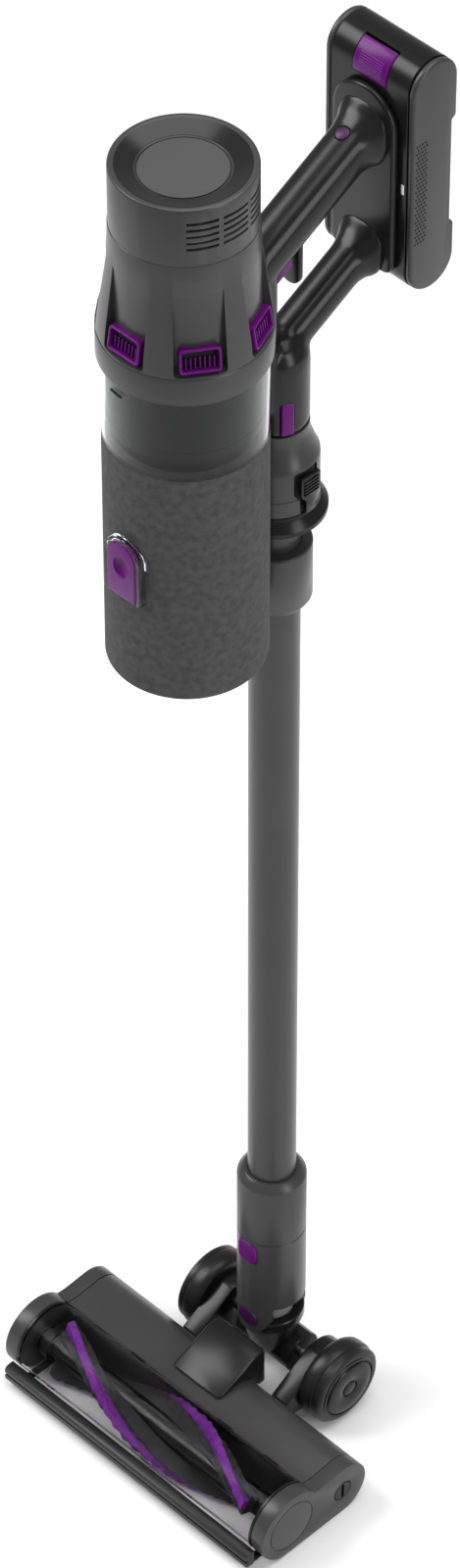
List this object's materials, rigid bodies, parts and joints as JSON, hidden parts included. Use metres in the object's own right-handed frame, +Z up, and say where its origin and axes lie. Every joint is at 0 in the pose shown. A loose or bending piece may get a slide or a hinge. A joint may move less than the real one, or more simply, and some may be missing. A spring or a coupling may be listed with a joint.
{
  "type": "cordless stick vacuum",
  "caption": "Upright cordless stick vacuum: brush floor head with wheels, tilting neck, long wand, clear cyclone bin, motor unit, grip and battery pack.",
  "frame": {"origin": "centre of the object's box at floor level", "axes": "+Z up along the wand, -Y towards the front, X along the floor head"},
  "size_m": [0.268, 0.2748, 1.2062],
  "materials": {
    "body_grey": "semi-gloss",
    "charcoal": "satin",
    "purple": "gloss",
    "clear": "clear",
    "smoke": "smoked clear",
    "rubber": "matt",
    "steel": "satin",
    "motor_alloy": "satin",
    "hose_grey": "satin",
    "bristle_black": "bristle",
    "filter_white": "felt",
    "cell_wrap": "satin",
    "tube_grey": "satin anodised",
    "light_white": "gloss",
    "disc_grey": "satin"
  },
  "bodies": {
    "head": {"head_shell": "body_grey", "brush_window": "smoke", "end_cap_left": "body_grey", "end_cap_right": "body_grey", "bumper_rail": "rubber", "sole_plate": "charcoal", "brush_bearing_left": "steel", "brush_bearing_right": "steel", "drive_belt": "rubber", "brush_motor": "motor_alloy", "neck_shield": "charcoal", "neck_duct": "body_grey", "wheel_axle": "steel"},
    "brush": {"brush_core": "charcoal", "bristle_row_1": "purple", "bristle_row_2": "purple", "brush_pulley": "charcoal"},
    "drive": {"motor_pulley": "steel"},
    "coin_lock_body": {"coin_lock": "charcoal"},
    "left_wheel": {"tyre_left": "rubber", "hub_left": "body_grey"},
    "right_wheel": {"tyre_right": "rubber", "hub_right": "body_grey"},
    "neck": {"yoke": "charcoal", "flex_hose": "hose_grey"},
    "upright": {"head_socket": "body_grey", "pivot_pin_front": "purple", "pivot_pin_rear": "purple", "wand_foot": "body_grey", "wand_tube": "tube_grey", "wand_collar": "body_grey", "column_base": "body_grey", "handle_frame": "charcoal", "clear_bin": "clear", "latch_frame": "clear", "cyclone_shroud": "charcoal", "motor_housing": "body_grey", "vent_band": "purple", "motor_can": "motor_alloy"},
    "head_release_body": {"head_release": "purple"},
    "wand_release_body": {"wand_release": "purple"},
    "bin_release_body": {"bin_release": "purple"},
    "power_body": {"power_button": "purple"},
    "trigger_body": {"trigger": "purple"},
    "latch_body": {"bin_latch": "purple"},
    "battery": {"battery_case": "charcoal", "battery_cells": "cell_wrap", "battery_cheek_left": "body_grey", "battery_cheek_right": "body_grey", "charge_light": "light_white"},
    "battery_release_body": {"battery_button": "purple"},
    "dusting_brush": {"dusting_skirt": "charcoal", "dusting_bristles": "bristle_black", "dusting_slider": "charcoal"},
    "lid": {"bin_lid": "clear"},
    "fan": {"impeller": "motor_alloy"},
    "cap": {"motor_cap": "body_grey", "cap_disc": "disc_grey", "exhaust_filter": "filter_white"}
  },
  "joints": [
    {"name": "brush_spin", "type": "hinge", "parent": "head", "child": "brush", "pos_m": [0, -0.0989, 0.0274], "axis": [1, 0, 0], "continuous": true},
    {"name": "motor_spin", "type": "hinge", "parent": "head", "child": "drive", "pos_m": [0, -0.0459, 0.0235], "axis": [1, 0, 0], "continuous": true},
    {"name": "left_wheel_spin", "type": "hinge", "parent": "head", "child": "left_wheel", "pos_m": [-0.08, 0.0209, 0.033], "axis": [1, 0, 0], "continuous": true},
    {"name": "right_wheel_spin", "type": "hinge", "parent": "head", "child": "right_wheel", "pos_m": [0.08, 0.0209, 0.033], "axis": [1, 0, 0], "continuous": true},
    {"name": "coin_lock_turn", "type": "hinge", "parent": "head", "child": "coin_lock_body", "pos_m": [0.134, -0.0459, 0.0235], "axis": [1, 0, 0], "range_deg": [0, 90]},
    {"name": "neck_pitch", "type": "hinge", "parent": "head", "child": "neck", "pos_m": [0, 0.0209, 0.033], "axis": [-1, 0, 0], "range_deg": [0, 80]},
    {"name": "neck_roll", "type": "hinge", "parent": "neck", "child": "upright", "pos_m": [0, 0.0151, 0.078], "axis": [0, 1, 0], "range_deg": [-35, 35]},
    {"name": "head_release_press", "type": "slide", "parent": "upright", "child": "head_release_body", "axis": [0, 1, 0], "range_m": [0, 0.002], "stiffness_N_per_m": 250, "springref_m": -0.001},
    {"name": "wand_release_press", "type": "slide", "parent": "upright", "child": "wand_release_body", "axis": [0, 1, 0], "range_m": [0, 0.002], "stiffness_N_per_m": 250, "springref_m": -0.001},
    {"name": "bin_release_press", "type": "slide", "parent": "upright", "child": "bin_release_body", "axis": [-0.9063, 0.4226, 0], "range_m": [0, 0.002], "stiffness_N_per_m": 250, "springref_m": -0.001},
    {"name": "power_press", "type": "slide", "parent": "upright", "child": "power_body", "axis": [0, 0.4741, -0.8805], "range_m": [0, 0.0025], "stiffness_N_per_m": 250, "springref_m": -0.001},
    {"name": "trigger_pull", "type": "slide", "parent": "upright", "child": "trigger_body", "axis": [0, 0, 1], "range_m": [0, 0.004], "stiffness_N_per_m": 250, "springref_m": -0.001},
    {"name": "bin_latch_press", "type": "slide", "parent": "upright", "child": "latch_body", "axis": [0, 1, 0], "range_m": [0, 0.002], "stiffness_N_per_m": 250, "springref_m": -0.001},
    {"name": "battery_slide", "type": "slide", "parent": "upright", "child": "battery", "axis": [0, 0, 1], "range_m": [0, 0.04]},
    {"name": "battery_release_press", "type": "slide", "parent": "battery", "child": "battery_release_body", "axis": [0, 1, 0], "range_m": [0, 0.003], "stiffness_N_per_m": 250, "springref_m": -0.001},
    {"name": "dusting_brush_slide", "type": "slide", "parent": "upright", "child": "dusting_brush", "axis": [0, 0, -1], "range_m": [0, 0.022]},
    {"name": "lid_open", "type": "hinge", "parent": "upright", "child": "lid", "pos_m": [0, -0.0169, 0.8797], "axis": [1, 0, 0], "range_deg": [0, 85]},
    {"name": "impeller_spin", "type": "hinge", "parent": "upright", "child": "fan", "pos_m": [0, -0.0656, 1.1613], "axis": [0, 0, 1], "continuous": true},
    {"name": "cap_turn", "type": "hinge", "parent": "upright", "child": "cap", "pos_m": [0, -0.0656, 1.1616], "axis": [0, 0, 1], "range_deg": [0, 35]}
  ],
  "couplings": [
    {"joint": "motor_spin", "follows": "brush_spin", "ratio": 2}
  ]
}
